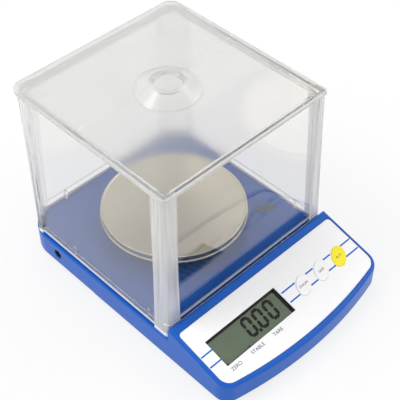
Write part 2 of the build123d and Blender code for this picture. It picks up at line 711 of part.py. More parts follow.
# Carrier: an arm on the free end, back to a hub that rises through the deck
with BuildPart() as pan_carrier:
    arm_end = free_end_x + BEAM_END / 2
    with BuildSketch(Plane.XY.offset(beam_top + CARRIER_PAD)):
        with Locations(((arm_end - HUB_RADIUS) / 2, pan_y)):
            Rectangle(arm_end + HUB_RADIUS, CARRIER_WIDTH)
    extrude(amount=CARRIER_THICKNESS)
    with BuildSketch(Plane.XY.offset(beam_top)):
        with Locations((free_end_x, pan_y)):
            Rectangle(BEAM_END, BEAM_WIDTH)
    extrude(amount=CARRIER_PAD)
    with BuildSketch(Plane.XY.offset(carrier_top)):
        with Locations((0, pan_y)):
            Circle(HUB_RADIUS)
    extrude(amount=hub_top - carrier_top)
    with BuildSketch(Plane.XY.offset(hub_top)):
        with Locations((0, pan_y)):
            Circle(SPIGOT_RADIUS)
    extrude(amount=SPIGOT_HEIGHT)
    with BuildSketch(Plane.XY.offset(beam_top)):
        with Locations((free_end_x, pan_y)):
            with GridLocations(BEAM_SCREW_SPACING, 0, 2, 1):
                Circle(BEAM_SCREW_RADIUS + SCREW_CLEARANCE)
    extrude(amount=CARRIER_PAD + CARRIER_THICKNESS, mode=Mode.SUBTRACT)
parts["pan_carrier"] = pan_carrier

# Screws that hold the carrier on the free end
with BuildPart() as carrier_screws:
    with BuildSketch(Plane.XY.offset(carrier_top)):
        with Locations((free_end_x, pan_y)):
            with GridLocations(BEAM_SCREW_SPACING, 0, 2, 1):
                Circle(BEAM_SCREW_RADIUS)
    extrude(amount=-(CARRIER_PAD + CARRIER_THICKNESS + CARRIER_SCREW_BITE))
    with BuildSketch(Plane.XY.offset(carrier_top)):
        with Locations((free_end_x, pan_y)):
            with GridLocations(BEAM_SCREW_SPACING, 0, 2, 1):
                Circle(SCREW_HEAD_RADIUS)
    extrude(amount=SCREW_HEAD_HEIGHT)
parts["carrier_screws"] = carrier_screws

# Pan support: ribbed disc on the hub, inside the pan's skirt
support_radius = PAN_RADIUS - PAN_SHEET - SUPPORT_GAP
rib_radius = support_radius - SUPPORT_RIM_WIDTH
with BuildPart() as pan_support:
    with BuildSketch(Plane.XY.offset(support_bottom)):
        with Locations((0, pan_y)):
            Circle(support_radius)
    extrude(amount=SUPPORT_THICKNESS)
    with BuildSketch(Plane.XY.offset(hub_top)):
        with Locations((0, pan_y)):
            Circle(SUPPORT_HUB_RADIUS)
    extrude(amount=support_bottom - hub_top)
    with BuildSketch(Plane.XY.offset(support_bottom)):
        with Locations((0, pan_y)):
            Circle(rib_radius)
            Circle(rib_radius - SUPPORT_RIB, mode=Mode.SUBTRACT)
            Rectangle(2 * rib_radius - SUPPORT_RIB, SUPPORT_RIB)
            Rectangle(SUPPORT_RIB, 2 * rib_radius - SUPPORT_RIB)
    extrude(amount=-SUPPORT_RIB_DEPTH)
    with BuildSketch(Plane.XY.offset(hub_top)):
        with Locations((0, pan_y)):
            Circle(SPIGOT_RADIUS + SPIGOT_FIT)
    extrude(amount=SPIGOT_HEIGHT, mode=Mode.SUBTRACT)
parts["pan_support"] = pan_support

# Rubber pads between the support and the pan
with BuildPart() as pan_pads:
    with BuildSketch(Plane.XY.offset(support_top)):
        with Locations((0, pan_y)):
            with PolarLocations(PAD_CIRCLE, PAD_COUNT, start_angle=PAD_ANGLE):
                Circle(PAD_RADIUS)
    extrude(amount=PAD_HEIGHT)
parts["pan_pads"] = pan_pads

# Steel pan: flat top, low bead at the edge, turned-down skirt with a flared lip
with BuildPart() as weighing_pan:
    with BuildSketch(Plane.XZ.offset(-pan_y)):
        with BuildLine():
            skirt_bottom = PAN_HEIGHT - PAN_SKIRT
            inner = PAN_RADIUS - PAN_SHEET
            Polyline(
                (0, pad_top),
                (inner, pad_top),
                (inner, skirt_bottom),
                (PAN_RADIUS + PAN_LIP, skirt_bottom),
                (PAN_RADIUS + PAN_LIP, skirt_bottom + PAN_SHEET),
                (PAN_RADIUS, skirt_bottom + 2 * PAN_SHEET),
                (PAN_RADIUS, PAN_HEIGHT - PAN_BEAD),
                (PAN_RADIUS - PAN_BEAD, PAN_HEIGHT),
                (PAN_RADIUS - PAN_BEAD_WIDTH + PAN_BEAD, PAN_HEIGHT),
                (PAN_RADIUS - PAN_BEAD_WIDTH, pan_top),
                (0, pan_top),
                close=True,
            )
        make_face()
    revolve(axis=Axis((0, pan_y, 0), (0, 0, 1)))
parts["weighing_pan"] = weighing_pan

# Printed film in its recess
with BuildPart() as front_overlay:
    with BuildSketch(panel.offset(-OVERLAY_RECESS)):
        add(overlay_plan(0))
        with Locations((display_x, display_y)):
            Rectangle(DISPLAY_WIDTH, DISPLAY_LENGTH, mode=Mode.SUBTRACT)
        add(key_oval(KEY_FIT), mode=Mode.SUBTRACT)
    extrude(amount=OVERLAY_THICKNESS)
parts["front_overlay"] = front_overlay

# Clear pane that closes the film's display opening
with BuildPart() as display_window:
    with BuildSketch(panel.offset(-OVERLAY_RECESS)):
        with Locations((display_x, display_y)):
            Rectangle(DISPLAY_WIDTH, DISPLAY_LENGTH)
    extrude(amount=OVERLAY_THICKNESS)
parts["display_window"] = display_window

# Black frame round the display, between the film and the glass
with BuildPart() as display_frame:
    with BuildSketch(panel.offset(-OVERLAY_RECESS)):
        with Locations((display_x, display_y)):
            Rectangle(*display_outer)
            Rectangle(DISPLAY_WIDTH, DISPLAY_LENGTH, mode=Mode.SUBTRACT)
    extrude(amount=-DISPLAY_FRAME_DEPTH)
parts["display_frame"] = display_frame

# Display glass
glass_width = DISPLAY_WIDTH + 2 * GLASS_MARGIN
glass_length = DISPLAY_LENGTH + 2 * GLASS_MARGIN
glass_depth = OVERLAY_RECESS + DISPLAY_FRAME_DEPTH
with BuildPart() as display_glass:
    with BuildSketch(panel.offset(-glass_depth)):
        with Locations((display_x, display_y)):
            Rectangle(glass_width, glass_length)
    extrude(amount=-GLASS_THICKNESS)
parts["display_glass"] = display_glass

# Holder that keeps the glass over the main board
pocket_width = glass_width + 2 * DISPLAY_FIT
pocket_length = glass_length + 2 * DISPLAY_FIT
with BuildPart() as display_holder:
    with BuildSketch(panel.offset(-board_depth)):
        with Locations((display_x, display_y)):
            Rectangle(pocket_width + 2 * HOLDER_WALL, pocket_length + 2 * HOLDER_WALL)
            Rectangle(pocket_width, pocket_length, mode=Mode.SUBTRACT)
    extrude(amount=HOLDER_DEPTH)
parts["display_holder"] = display_holder

# Two rubber contact strips between the glass and the main board
strip_height = board_depth - glass_depth - GLASS_THICKNESS
with BuildPart() as display_contact_strips:
    with BuildSketch(panel.offset(-board_depth)):
        with Locations((display_x, display_y)):
            with GridLocations(0, glass_length - 2 * CONNECTOR_STRIP_WIDTH, 1, 2):
                Rectangle(DISPLAY_WIDTH, CONNECTOR_STRIP_WIDTH)
    extrude(amount=strip_height)
parts["display_contact_strips"] = display_contact_strips

# Main board under the panel
with BuildPart() as main_board:
    with BuildSketch(panel.offset(-board_depth)):
        with Locations(board_centre):
            Rectangle(board_width, BOARD_LENGTH)
        with Locations(board_post_centre):
            with GridLocations(*board_post_spacing, 2, 2):
                Circle(BOARD_SCREW_RADIUS + SCREW_CLEARANCE, mode=Mode.SUBTRACT)
    extrude(amount=-BOARD_THICKNESS)
parts["main_board"] = main_board

# Chips on the underside of the main board
with BuildPart() as board_chips:
    with BuildSketch(panel.offset(-board_under)):
        with Locations((display_x, board_centre[1])):
            Rectangle(CHIP_SIZE, CHIP_SIZE)
        with Locations((0, board_centre[1]), (CHIP_SIZE, board_centre[1])):
            Rectangle(SMALL_CHIP_SIZE, SMALL_CHIP_SIZE)
    extrude(amount=-CHIP_HEIGHT)
parts["board_chips"] = board_chips

# Screws that hold the main board on its posts
with BuildPart() as board_screws:
    with BuildSketch(panel.offset(-board_under)):
        with Locations(board_post_centre):
            with GridLocations(*board_post_spacing, 2, 2):
                Circle(BOARD_SCREW_RADIUS)
    extrude(amount=BOARD_THICKNESS + BOARD_SCREW_BITE)
    with BuildSketch(panel.offset(-board_under)):
        with Locations(board_post_centre):
            with GridLocations(*board_post_spacing, 2, 2):
                Circle(BOARD_SCREW_HEAD_RADIUS)
    extrude(amount=-BOARD_SCREW_HEAD)
parts["board_screws"] = board_screws

# Plugs on the underside of the main board, for the three leads
with BuildPart() as board_plugs:
    with BuildSketch(panel.offset(-board_under)):
        with Locations((fixed_end_x, plug_y), (power_plug_x, plug_y), (battery_plug_x, plug_y)):
            Rectangle(PLUG_WIDTH, PLUG_DEPTH)
    extrude(amount=-PLUG_HEIGHT)
parts["board_plugs"] = board_plugs

# Keys: an oval cap with a flange below the panel and a stem, and the switch under it
flange_depth = OVERLAY_RECESS + WALL
switch_top = board_depth - SWITCH_HEIGHT
plunger_top = switch_top - PLUNGER_LENGTH / 2
key_top = OVERLAY_RECESS - OVERLAY_THICKNESS - KEY_STANDS
for index, key_name in enumerate(KEY_NAMES):
    key_place = (first_key_x + index * KEY_PITCH, -KEY_BACK)
    with BuildPart() as key:
        with BuildSketch(panel.offset(-flange_depth)):
            with Locations(key_place):
                Ellipse(KEY_LONG_RADIUS, KEY_SHORT_RADIUS, rotation=KEY_LEAN)
        extrude(amount=flange_depth - key_top)
        with BuildSketch(panel.offset(-flange_depth)):
            with Locations(key_place):
                Ellipse(KEY_LONG_RADIUS + KEY_FLANGE, KEY_SHORT_RADIUS + KEY_FLANGE, rotation=KEY_LEAN)
        extrude(amount=-KEY_FLANGE_THICKNESS)
        with BuildSketch(panel.offset(-flange_depth)):
            with Locations(key_place):
                Circle(STEM_RADIUS)
        extrude(amount=-(plunger_top - flange_depth))
    parts[f"{key_name}_key"] = key
    with BuildPart() as plunger:
        with BuildSketch(panel.offset(-plunger_top)):
            with Locations(key_place):
                Circle(PLUNGER_RADIUS)
        extrude(amount=-PLUNGER_LENGTH)
    parts[f"{key_name}_switch_plunger"] = plunger
    with BuildPart() as switch:
        with BuildSketch(panel.offset(-board_depth)):
            with Locations(key_place):
                Rectangle(SWITCH_SIZE, SWITCH_SIZE)
        extrude(amount=SWITCH_HEIGHT)
        with BuildSketch(panel.offset(-switch_top)):
            with Locations(key_place):
                Circle(PLUNGER_RADIUS + PLUNGER_FIT)
        extrude(amount=-(PLUNGER_LENGTH / 2 + KEY_TRAVEL + PLUNGER_FIT), mode=Mode.SUBTRACT)
    parts[f"{key_name}_switch"] = switch

# Power inlet: a socket block behind the left wall, and its centre pin
jack_face = -half_width + WALL
with BuildPart() as power_jack:
    with BuildSketch(Plane.YZ.offset(jack_face)):
        with Locations((jack_y, JACK_Z)):
            Rectangle(JACK_WIDTH, JACK_HEIGHT)
    extrude(amount=JACK_LENGTH)
    with BuildSketch(Plane.YZ.offset(jack_face)):
        with Locations((jack_y, JACK_Z)):
            Circle(JACK_HOLE_RADIUS - JACK_FIT)
    extrude(amount=-JACK_COLLAR_LENGTH)
    with BuildSketch(Plane.YZ.offset(jack_face - JACK_COLLAR_LENGTH)):
        with Locations((jack_y, JACK_Z)):
            Circle(JACK_BARREL_RADIUS)
    extrude(amount=JACK_DEPTH + JACK_COLLAR_LENGTH, mode=Mode.SUBTRACT)
parts["power_jack"] = power_jack

with BuildPart() as jack_pin:
    with BuildSketch(Plane.YZ.offset(jack_face + JACK_DEPTH)):
        with Locations((jack_y, JACK_Z)):
            Circle(JACK_PIN_RADIUS)
    extrude(amount=-JACK_DEPTH)
    fillet(jack_pin.edges().group_by(Axis.X)[0], JACK_PIN_RADIUS / 2)
parts["jack_pin"] = jack_pin

# Leads from the load cell, the power inlet and the battery bay to the main board
cell_lead_start = (fixed_end_x, pan_y - BEAM_WIDTH / 2, beam_bottom + BEAM_HEIGHT / 2)
power_lead_start = (jack_face + JACK_LENGTH, jack_y, JACK_Z)
battery_lead_start = (bay_width / 2 + BAY_WALL, bay_front + BATTERY_LEAD_BACK, BATTERY_LEAD_Z)
parts["load_cell_lead"] = lead(cell_lead_start, fixed_end_x)
parts["power_lead"] = lead(power_lead_start, power_plug_x)
parts["battery_lead"] = lead(battery_lead_start, battery_plug_x)

# Battery cells, side by side and turned end for end, with their springs and contacts
spring_ends = []
for index in range(CELL_COUNT):
    cell_x = (index - (CELL_COUNT - 1) / 2) * CELL_PITCH
    turned = index % 2 == 1
    # the nub meets one contact, and the flat end leaves room for the spring
    if turned:
        flat_end = bay_front + CONTACT_THICKNESS + SPRING_LENGTH
        way = 1
    else:
        flat_end = bay_rear - CONTACT_THICKNESS - SPRING_LENGTH
        way = -1
    spring_ends.append((cell_x, flat_end, way))
    with BuildPart() as cell:
        with BuildSketch(Plane(origin=(cell_x, flat_end, cell_z), z_dir=(0, way, 0))):
            Circle(CELL_RADIUS)
        extrude(amount=CELL_LENGTH)
        nub_start = (cell_x, flat_end + way * CELL_LENGTH, cell_z)
        with BuildSketch(Plane(origin=nub_start, z_dir=(0, way, 0))):
            Circle(NUB_RADIUS)
        extrude(amount=NUB_LENGTH)
    parts[f"battery_cell_{index + 1}"] = cell

with BuildPart() as battery_contacts:
    for wall_y, way in ((bay_front, 1), (bay_rear, -1)):
        with BuildSketch(Plane(origin=(0, wall_y, cell_z), x_dir=(1, 0, 0), z_dir=(0, way, 0))):
            with GridLocations(CELL_PITCH, 0, CELL_COUNT, 1):
                Rectangle(CONTACT_SIZE, CONTACT_SIZE)
        extrude(amount=CONTACT_THICKNESS)
parts["battery_contacts"] = battery_contacts

with BuildPart() as battery_springs:
    coil_length = SPRING_LENGTH - 2 * SPRING_WIRE
    for x, flat_end, way in spring_ends:
        with BuildLine():
            coil = Helix(
                pitch=SPRING_PITCH,
                height=coil_length,
                radius=SPRING_RADIUS,
                center=(x, flat_end - way * SPRING_WIRE, cell_z),
                direction=(0, -way, 0),
            )
        with BuildSketch(Plane(origin=coil @ 0, z_dir=coil % 0)):
            Circle(SPRING_WIRE)
        sweep()
parts["battery_springs"] = battery_springs

# Battery cover: a plate in the bay's mouth that swings down on two small pins
cover_rear = bay_rear - COVER_GAP
cover_width = bay_width - 2 * COVER_GAP
with BuildPart() as battery_cover:
    with BuildSketch(Plane.YZ.offset(-cover_width / 2)):
        with Locations((hinge_y, hinge_z)):
            Circle(COVER_THICKNESS / 2)
        with Locations(((hinge_y + cover_rear) / 2, hinge_z)):
            Rectangle(cover_rear - hinge_y, COVER_THICKNESS)
    extrude(amount=cover_width)
    with BuildSketch(Plane.YZ.offset(-bay_width / 2 - HINGE_PIN_LENGTH + HINGE_FIT)):
        with Locations((hinge_y, hinge_z)):
            Circle(HINGE_PIN_RADIUS)
    extrude(amount=bay_width + 2 * HINGE_PIN_LENGTH - 2 * HINGE_FIT)
    # thumb hollow by the rear edge
    with BuildSketch(Plane.XY.offset(FOOT_DROP)):
        with Locations((0, cover_rear - 2 * THUMB_LENGTH)):
            SlotOverall(THUMB_WIDTH, THUMB_LENGTH)
    extrude(amount=COVER_THICKNESS / 2, mode=Mode.SUBTRACT)
parts["battery_cover"] = battery_cover

# Corner posts of the shield, as one ring cut down to its corners
post_width = POST_WIDTH_X + POST_PROUD
post_depth = POST_WIDTH_Y + POST_PROUD
rear_post = REAR_CHAMFER + POST_PAST_CHAMFER + POST_PROUD
with BuildPart() as corner_posts:
    with BuildSketch(Plane.XY.offset(LEDGE_HEIGHT)):
        add(shield_plan(POST_PROUD, 0))
    with BuildSketch(Plane.XY.offset(wall_top)):
        add(shield_plan(POST_PROUD, 1))
    loft(ruled=True)
    with BuildSketch(Plane.XY.offset(LEDGE_HEIGHT)):
        for side in (-1, 1):
            with Locations((side * (SHIELD_WIDTH / 2 + POST_PROUD), shield_front - POST_PROUD)):
                Rectangle(2 * post_width, 2 * post_depth)
            with Locations((side * (SHIELD_WIDTH / 2 + POST_PROUD), shield_rear + POST_PROUD)):
                Rectangle(2 * rear_post, 2 * rear_post)
    extrude(amount=shield_rise, mode=Mode.INTERSECT)

# Shield: walls, hem, posts and locating ribs
with BuildPart() as shield_walls:
    with BuildSketch(Plane.XY.offset(wall_bottom)):
        add(shield_plan(0, 0))
    with BuildSketch(Plane.XY.offset(wall_top)):
        add(shield_plan(0, 1))
    loft(ruled=True)
    with BuildSketch(Plane.XY.offset(wall_bottom)):
        add(shield_plan(HEM_PROUD, 0))
    extrude(amount=HEM_HEIGHT)
    add(corner_posts.part)
    with BuildSketch(Plane.XY.offset(LEDGE_HEIGHT)):
        add(shield_plan(-SHIELD_WALL, 0))
    with BuildSketch(Plane.XY.offset(wall_top)):
        add(shield_plan(-SHIELD_WALL, 1))
    loft(ruled=True, mode=Mode.SUBTRACT)
    # each rib starts inside its wall
    side_rib = DECK_SIDE_GAP - RIB_GAP + SHIELD_WALL
    end_rib = DECK_END_GAP - RIB_GAP + SHIELD_WALL
    with BuildSketch(Plane.XY.offset(wall_bottom)):
        for side in (-1, 1):
            for rib_y in (shield_y - SIDE_RIB_REAR, shield_y + SIDE_RIB_FRONT):
                with Locations((side * (deck_width / 2 + RIB_GAP + side_rib / 2), rib_y)):
                    Rectangle(side_rib, RIB_WIDTH)
            for end in (-1, 1):
                rib_y = shield_y + end * (deck_depth / 2 + RIB_GAP + end_rib / 2)
                with Locations((side * FRONT_RIB_X, rib_y)):
                    Rectangle(RIB_WIDTH, end_rib)
    extrude(amount=RIB_HEIGHT)
parts["shield_walls"] = shield_walls

# Lid: plate on the walls, rim inside them, and a raised grip in the middle
lid_front = shield_front + shield_shrink - POST_PROUD - LID_OVERHANG
lid_rear = shield_rear - shield_shrink + POST_PROUD + LID_REAR_OVERHANG
lid_y = (lid_front + lid_rear) / 2
lid_width = SHIELD_WIDTH - 2 * shield_shrink + 2 * (POST_PROUD + LID_OVERHANG)
with BuildPart() as shield_lid:
    with BuildSketch(Plane.XY.offset(lid_bottom)) as lid_outline:
        with Locations((0, lid_y)):
            Rectangle(lid_width, lid_rear - lid_front)
        fillet(lid_outline.vertices().group_by(Axis.Y)[-1], LID_REAR_RADIUS)
        fillet(lid_outline.vertices().group_by(Axis.Y)[0], SHIELD_FRONT_RADIUS)
    extrude(amount=LID_THICKNESS)
    with BuildSketch(Plane.XY.offset(lid_bottom)):
        add(shield_plan(-SHIELD_WALL - LID_CLEARANCE, 1))
        add(shield_plan(-SHIELD_WALL - LID_CLEARANCE - LID_RIM_THICKNESS, 1), mode=Mode.SUBTRACT)
    extrude(amount=-LID_RIM_HEIGHT)
    with BuildSketch(Plane.XZ.offset(-lid_y)):
        with BuildLine():
            Polyline(
                (0, lid_bottom),
                (GRIP_BASE_RADIUS, lid_bottom),
                (GRIP_BASE_RADIUS, SHIELD_HEIGHT),
                (GRIP_RING_RADIUS, SHIELD_HEIGHT + GRIP_HEIGHT),
                (GRIP_RING_RADIUS - GRIP_RING_WIDTH, SHIELD_HEIGHT + GRIP_HEIGHT),
                (GRIP_RING_RADIUS - 2 * GRIP_RING_WIDTH, SHIELD_HEIGHT + GRIP_HEIGHT - GRIP_DISH),
                (0, SHIELD_HEIGHT + GRIP_HEIGHT - GRIP_DISH),
                close=True,
            )
        make_face()
    revolve(axis=Axis((0, lid_y, 0), (0, 0, 1)))
    with BuildSketch(Plane.XZ.offset(-lid_y)):
        with BuildLine():
            hollow_top = SHIELD_HEIGHT + GRIP_HEIGHT - GRIP_DISH - LID_THICKNESS
            Polyline(
                (0, lid_bottom),
                (GRIP_BASE_RADIUS - LID_THICKNESS, lid_bottom),
                (GRIP_RING_RADIUS - LID_THICKNESS, hollow_top),
                (0, hollow_top),
                close=True,
            )
        make_face()
    revolve(axis=Axis((0, lid_y, 0), (0, 0, 1)), mode=Mode.SUBTRACT)
parts["shield_lid"] = shield_lid

for name, piece in parts.items():
    piece.part.label = name
    export_step(piece.part, f"parts/{name}.step")
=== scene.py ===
from math import cos, radians, sin

import bmesh
import bpy
from mathutils import Matrix, Vector


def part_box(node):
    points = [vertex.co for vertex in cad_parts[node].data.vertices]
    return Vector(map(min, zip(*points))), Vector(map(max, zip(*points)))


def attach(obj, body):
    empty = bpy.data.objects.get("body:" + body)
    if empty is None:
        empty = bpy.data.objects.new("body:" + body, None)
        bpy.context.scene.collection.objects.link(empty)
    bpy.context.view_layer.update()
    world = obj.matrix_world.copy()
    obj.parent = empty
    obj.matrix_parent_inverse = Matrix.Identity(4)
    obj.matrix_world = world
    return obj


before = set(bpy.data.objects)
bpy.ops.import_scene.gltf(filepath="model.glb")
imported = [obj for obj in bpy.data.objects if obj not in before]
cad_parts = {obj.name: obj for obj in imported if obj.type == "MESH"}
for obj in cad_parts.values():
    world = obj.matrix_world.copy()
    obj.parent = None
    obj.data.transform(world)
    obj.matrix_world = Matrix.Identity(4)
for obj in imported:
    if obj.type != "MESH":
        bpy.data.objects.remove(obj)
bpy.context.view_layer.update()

MM = 0.001
IMAGE = 400

# Camera, solved from the straight edges of the shield and the housing
CAMERA_AZIMUTH = radians(-43.95)
CAMERA_ELEVATION = radians(45.62)
CAMERA_ROLL = radians(-0.43)
CAMERA_DISTANCE = 774.1 * MM
CAMERA_TARGET = Vector((13.47, 21.52, 38.40)) * MM
SENSOR = 36.0
FOCAL_PIXELS = 970.44
CENTRE_X_PIXEL = 195.95
CENTRE_Y_PIXEL = 207.33

# Sloped panel: places on it are x, and v down the slope from the film's back edge
PANEL_SLOPE = radians(15)
FILM_THICKNESS = 0.5 * MM
PRINT_THICKNESS = 0.03 * MM
film_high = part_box("front_overlay")[1]
panel_right = Vector((1, 0, 0))
panel_down = Vector((0, -cos(PANEL_SLOPE), -sin(PANEL_SLOPE)))
panel_out = Vector((0, -sin(PANEL_SLOPE), cos(PANEL_SLOPE)))
film_back = Vector((0, film_high.y - FILM_THICKNESS * sin(PANEL_SLOPE), film_high.z))
film_half_width = film_high.x

# Printed lines beside the display and between the keys
LINE_WIDTH = 1.25 * MM
LINE_ROWS = (23.7 * MM, 33.2 * MM)
LINE_EDGE_GAP = 0.6 * MM
KEY_X = 21.6 * MM
KEY_PITCH = 20.5 * MM
KEY_V = 29.1 * MM
KEY_LINE_GAP = 6.1 * MM
KEY_LINE_SHIFT = 1.75 * MM
DISPLAY_SIDE_GAP = 1.4 * MM

# Words under the display and on the keys
WORD_SIZE = 4.0 * MM
LETTER_GROWTH = 0.05 * MM
WORD_V = 45.2 * MM
WORDS = (("ZERO", -65.2 * MM), ("STABLE", -43.4 * MM), ("TARE", -22.2 * MM))
KEY_WORD_SIZE = 2.7 * MM
KEY_STANDS = 0.4 * MM

# Places of the draft shield whitened with painted highlight and painted light
WALL_LEAN = 0.0293
WALL_FOOT = 25.2 * MM
POST_WIDTH = 12.3 * MM
POST_DEPTH = 15.3 * MM
REAR_POST = 21.3 * MM
EDGE_BAND = 1.6 * MM
HEM_DEPTH = 3.5 * MM
# painted highlight in the front and rear posts and along the wall edges
POST_PAINTED_HIGHLIGHT = 0.38
POST_STREAK = 0.16
REAR_POST_PAINTED_HIGHLIGHT = 0.1
EDGE_PAINTED_HIGHLIGHT = 0.95
# painted highlight on the lid's rim, and painted light growing towards its rear
LID_RIM_PAINTED_HIGHLIGHT = 0.5
LID_FRONT_PAINTED_LIGHT = 0.04
LID_REAR_PAINTED_LIGHT = 0.46
LID_BLUR = 0.07
FRONT_BEAD_LOW = 35.4 * MM
FRONT_BEAD_HIGH = 36.9 * MM
# colours of the painted highlight and painted light, and the roughness added with them
WALL_PAINTED_HIGHLIGHT_COLOUR = (0.96, 0.96, 0.98, 1.0)
LID_PAINTED_LIGHT_COLOUR = (0.80, 0.795, 0.775, 1.0)
PAINTED_LIGHT_ROUGHNESS = 0.3

# Black border round the display, printed all round and widened with painted shade of the window frame along
# the back and the right: back, right, front and left
BORDER_BACK_WITH_SHADE = 1.7 * MM
BORDER_RIGHT_WITH_SHADE = 2.1 * MM
BORDER_FRONT = 0.8 * MM
BORDER_LEFT = 0.8 * MM

# Figures on the display
FIGURE_LEFT = -38.8 * MM
FIGURE_TOP = 18.8 * MM
FIGURE_HEIGHT = 17.0 * MM
FIGURE_WIDTH = 8.9 * MM
FIGURE_PITCH = 11.4 * MM
FIGURE_STROKE = 2.6 * MM
FIGURE_LEAN = 0.07
SEGMENT_GAP = 0.05 * MM
POINTER_SIZE = 2.0 * MM
POINTER_V = 38.9 * MM
POINTER_X = (-68.3 * MM, -46.0 * MM)
SEGMENT_DEPTH = 0.02 * MM
KEY_COUNT = 3
FIGURE_COUNT = 3
UPPER_EDGE_BAND = 0.01 * MM

# Marks in the materials: scales count the blobs of noise per metre
NOISE_DETAIL = 2.0
MOTTLE_SCALE = 60
SHEEN_SCALE = 240
GRAIN_SCALE = 2600
GRAIN_DETAIL = 3
METAL_SCALE = 900
METAL_DETAIL = 4
CAST_SCALE = 2200
PAN_SCALE = 700
STREAK_SCALE = 420
CLEAR_SHEEN_SCALE = 40
RIPPLE_SCALE = 18
RIPPLE_DETAIL = 1
INK_SCALE = 900
INK_SHEEN_SCALE = 1500

# Ways along which marks are drawn out
EVEN = (1, 1, 1)
MACHINED_WAY = (0.05, 1, 1)
PAN_WAY = (0.06, 1, 1)
STREAK_WAY = (1, 1, 0.02)

# How far the roughness wanders
MOULDED_SPREAD = 0.04
METAL_SPREAD = 0.06
CLEAR_SPREAD = 0.015
INK_SPREAD = 0.1

# Depth of marks, and how soft edges look
GRAIN_DEPTH = 0.012 * MM
FILM_GRAIN = 0.004 * MM
KEY_GRAIN = 0.006 * MM
BOARD_GRAIN = 0.02 * MM
RUBBER_GRAIN = 0.03 * MM
DISPLAY_GRAIN = 0.002 * MM
METAL_DEPTH = 0.004 * MM
CAST_DEPTH = 0.02 * MM
RIPPLE_DEPTH = 0.02 * MM
WINDOW_RIPPLE = 0.002 * MM
MOULDED_EDGE = 0.35 * MM
METAL_EDGE = 0.15 * MM
FILM_EDGE = 0.1 * MM
EDGE_SAMPLES = 6
SOFT_STEP = 0.5 * MM
SHORT_STEP = 0.2 * MM

# Clear plastic and ink
CLEAR_IOR = 1.5
WINDOW_IOR = 1.2
WALL_TINT = (0.945, 0.945, 0.945, 1.0)
LID_TINT = (0.92, 0.915, 0.90, 1.0)
WINDOW_TINT = (0.98, 0.985, 0.98, 1.0)
INK_ROUGHNESS = 0.4
INK_SHINE = 0.15
INK_PALER = 1.12
INK_LIFT = 0.004

# Floor, lamps and surroundings
FLOOR_HALF = 4.0
FLOOR_COLOUR = (0.86, 0.86, 0.86, 1.0)
FLOOR_ROUGHNESS = 0.9
FLOOR_WHITE_SHARE = 0.75
WHITE = (1, 1, 1, 1)
WORLD_STRENGTH = 0.85
WORLD_WHITE_SHARE = 1.0
KEY_LAMP_PLACE = (-0.9, 0.7, 1.5)
KEY_LAMP_SIZE = 0.9
KEY_LAMP_POWER = 12.0
FILL_LAMP_PLACE = (1.3, -0.6, 1.1)
FILL_LAMP_SIZE = 1.2
FILL_LAMP_POWER = 6.0
LAMP_AIM = Vector((0, 0, 0.05))
CLIP_START = 0.01
CLIP_END = 50
MOST_BOUNCES = 32
CLEAR_BOUNCES = 24


def srgb(red, green, blue):
    """A colour given as 0 to 255 on the screen, as the linear values that shaders take."""
    channels = []
    # the numbers are those of the sRGB standard
    for value in (red, green, blue):
        share = value / 255
        channels.append(share / 12.92 if share <= 0.04045 else ((share + 0.055) / 1.055) ** 2.4)
    return (*channels, 1.0)


def on_panel(x, v, lift=0.0):
    """The point on the film at x and v, lifted off it by lift."""
    return film_back + panel_right * x + panel_down * v + panel_out * lift


def start_material(name):
    """A new material with an empty principled shader."""
    material = bpy.data.materials.new(name)
    material.use_nodes = True
    material.node_tree.nodes.clear()
    tree = material.node_tree
    shader = tree.nodes.new("ShaderNodeBsdfPrincipled")
    output = tree.nodes.new("ShaderNodeOutputMaterial")
    tree.links.new(shader.outputs["BSDF"], output.inputs["Surface"])
    return material, tree, shader


def set_inputs(shader, **values):
    """Sets sockets by name: a_b stands for 'A B'."""
    for name, value in values.items():
        shader.inputs[name.replace("_", " ")].default_value = value


def noise(tree, scale, detail=NOISE_DETAIL, stretch=EVEN):
    """Noise in the frame's metres; scale counts its blobs per metre."""
    place = tree.nodes.new("ShaderNodeTexCoord")
    mapping = tree.nodes.new("ShaderNodeMapping")
    mapping.inputs["Scale"].default_value = stretch
    texture = tree.nodes.new("ShaderNodeTexNoise")
    texture.inputs["Scale"].default_value = scale
    texture.inputs["Detail"].default_value = detail
    tree.links.new(place.outputs["Object"], mapping.inputs["Vector"])
    tree.links.new(mapping.outputs["Vector"], texture.inputs["Vector"])
    return texture.outputs["Fac"]


def spread(tree, source, low, high, start=0.0, end=1.0):
    """Maps a value between start and end to the range low to high."""
    ramp = tree.nodes.new("ShaderNodeMapRange")
    ramp.inputs["From Min"].default_value = start
    ramp.inputs["From Max"].default_value = end
    ramp.inputs["To Min"].default_value = low
    ramp.inputs["To Max"].default_value = high
    tree.links.new(source, ramp.inputs["Value"])
    return ramp.outputs["Result"]


def colour_between(tree, source, first, second):
    """Mixes two colours by a 0 to 1 value."""
    mix = tree.nodes.new("ShaderNodeMix")
    mix.data_type = "RGBA"
    mix.inputs["A"].default_value = first
    mix.inputs["B"].default_value = second
    tree.links.new(source, mix.inputs["Factor"])
    return mix.outputs["Result"]


def add_bump(tree, shader, source, distance, edge=0.0):
    """Bump from a height source, over edges that look rounded by edge."""
    bump = tree.nodes.new("ShaderNodeBump")
    bump.inputs["Distance"].default_value = distance
    tree.links.new(source, bump.inputs["Height"])
    if edge:
        bevel = tree.nodes.new("ShaderNodeBevel")
        bevel.samples = EDGE_SAMPLES
        bevel.inputs["Radius"].default_value = edge
        tree.links.new(bevel.outputs["Normal"], bump.inputs["Normal"])
    tree.links.new(bump.outputs["Normal"], shader.inputs["Normal"])


